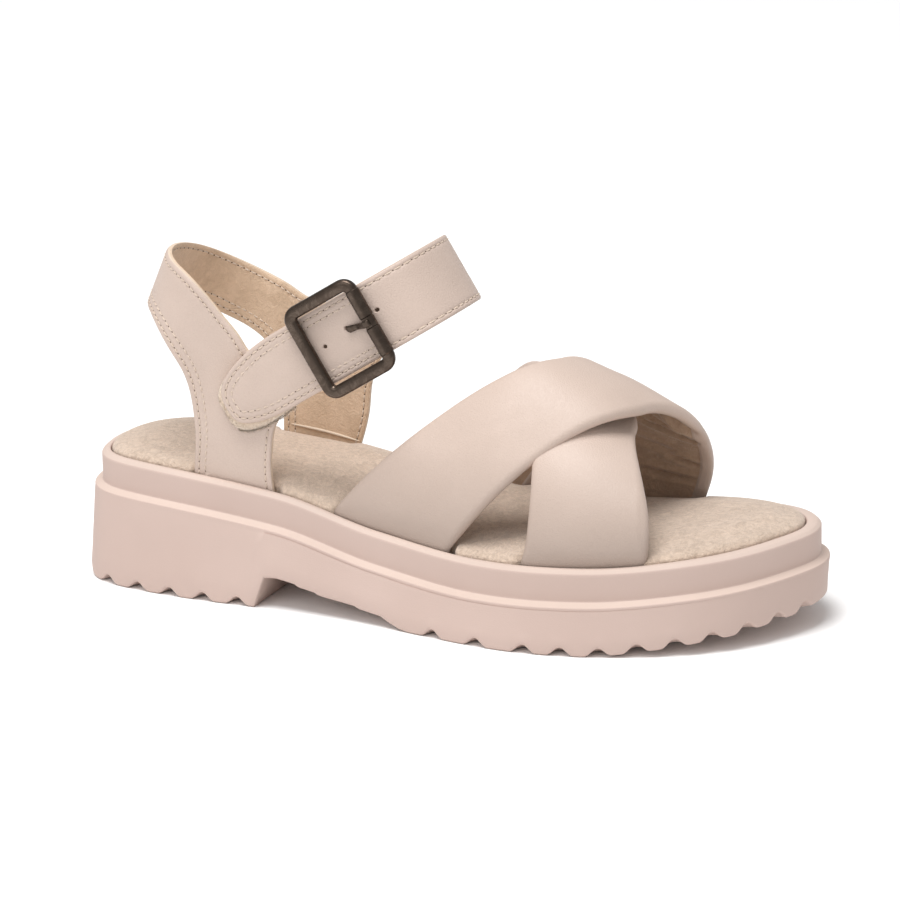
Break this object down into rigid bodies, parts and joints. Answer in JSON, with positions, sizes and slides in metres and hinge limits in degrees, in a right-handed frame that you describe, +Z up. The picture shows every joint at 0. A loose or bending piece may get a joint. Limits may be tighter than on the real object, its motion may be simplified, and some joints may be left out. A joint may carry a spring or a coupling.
{
  "type": "cross strap sandal",
  "caption": "Women's chunky sandal with crossed padded forefoot straps, a heel sling with a buckled instep strap, and a lugged block heel sole.",
  "frame": {"origin": "middle of the whole shoe's plan box, on the floor it stands on", "axes": "+X from the heel to the toe, +Y to the medial side of this right shoe, +Z up"},
  "size_m": [0.2648, 0.1026, 0.1248],
  "materials": {
    "sole_unit": "matte moulded foam, dusty pink",
    "footbed": "beige suede with a soft nap",
    "cross_straps": "smooth nude leather, padded",
    "heel_quarter": "smooth nude leather with a tan lining",
    "instep_strap": "smooth nude leather",
    "fastening_patch": "cream brushed loop fabric",
    "buckle_frame": "dark bronze plating",
    "buckle_roller": "dark bronze plating",
    "buckle_prong": "dark bronze plating"
  },
  "bodies": {
    "root": {"sole_unit": "sole_unit", "footbed": "footbed", "cross_straps": "cross_straps", "heel_quarter": "heel_quarter", "instep_strap": "instep_strap", "fastening_patch": "fastening_patch", "buckle_frame": "buckle_frame", "buckle_roller": "buckle_roller", "buckle_prong": "buckle_prong"}
  },
  "joints": []
}
